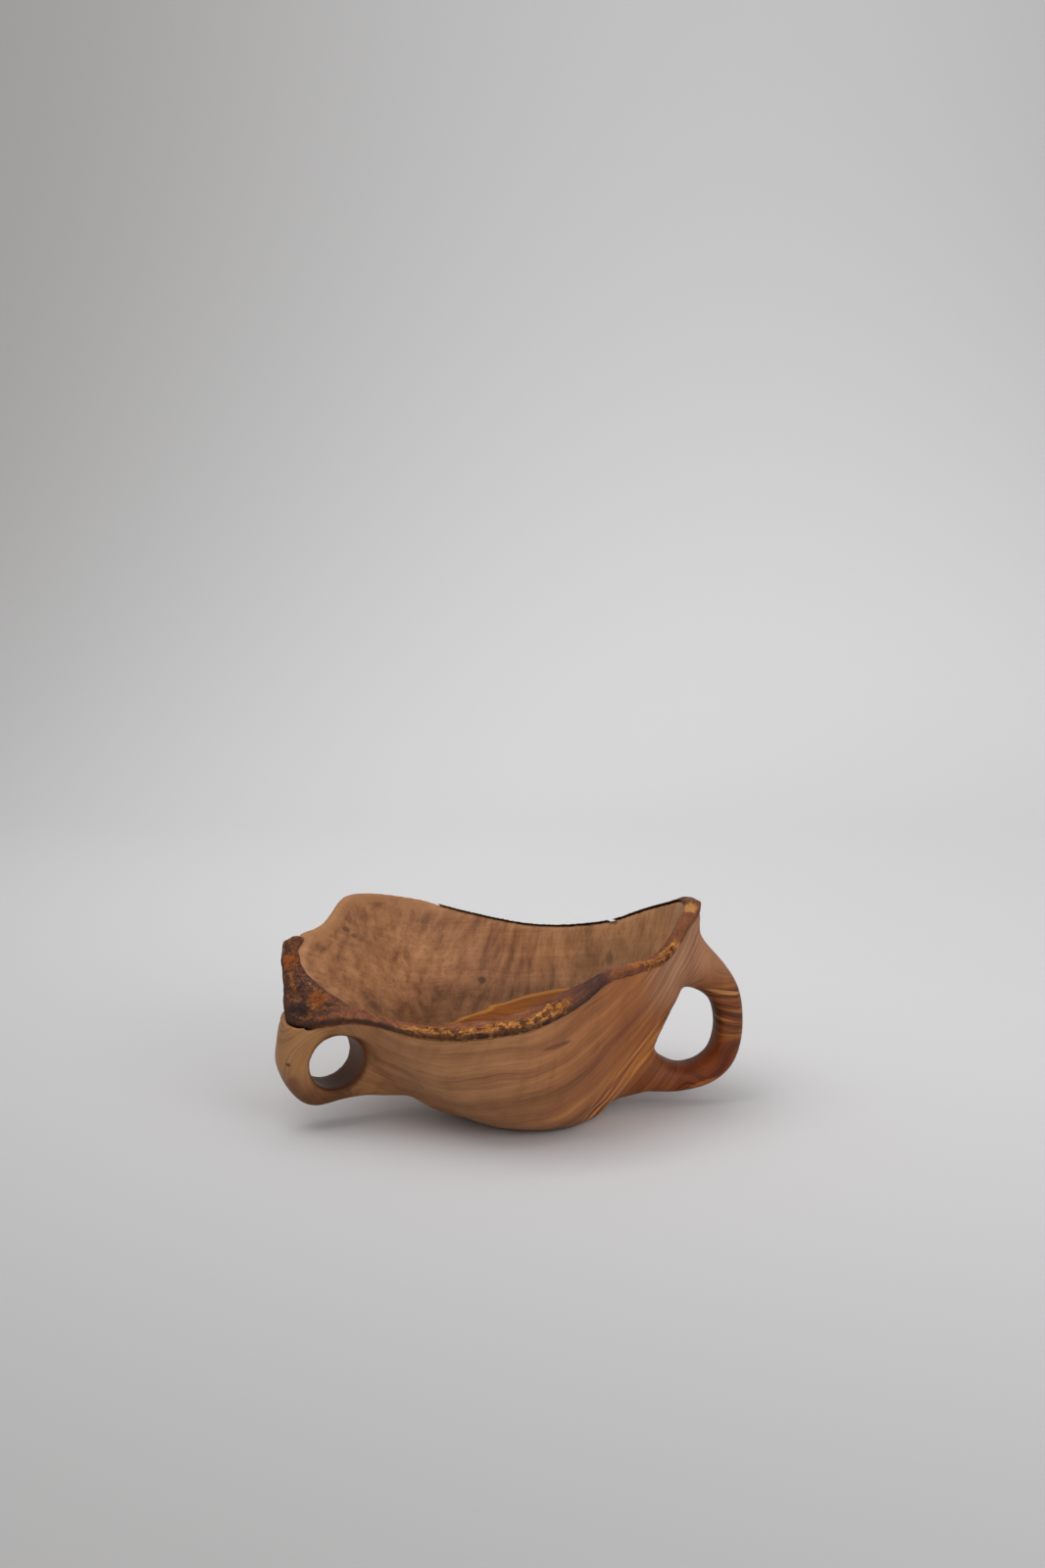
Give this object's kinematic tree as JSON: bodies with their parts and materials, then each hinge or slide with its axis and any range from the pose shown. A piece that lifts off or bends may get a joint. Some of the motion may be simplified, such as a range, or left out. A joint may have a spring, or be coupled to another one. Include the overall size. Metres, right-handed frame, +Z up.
{
  "type": "burl wood bowl",
  "caption": "Carved burl wood bowl with an uneven bark-edged rim, a flat foot and a ring handle with a finger hole at each end.",
  "frame": {"origin": "middle of the flat foot, on the surface the bowl stands on", "axes": "+X from the left handle to the right handle, +Y to the back, +Z up"},
  "size_m": [0.3401, 0.2286, 0.1551],
  "materials": {
    "carved_wood": "satin oiled",
    "bark": "rough natural bark, sealed"
  },
  "bodies": {
    "root": {"bowl_body": "carved_wood", "left_ear_bark": "bark", "front_rim_bark": "bark", "right_rim_bark": "bark", "right_peak_bark": "bark", "back_rim_bark_right": "bark", "back_rim_bark_left": "bark"}
  },
  "joints": []
}
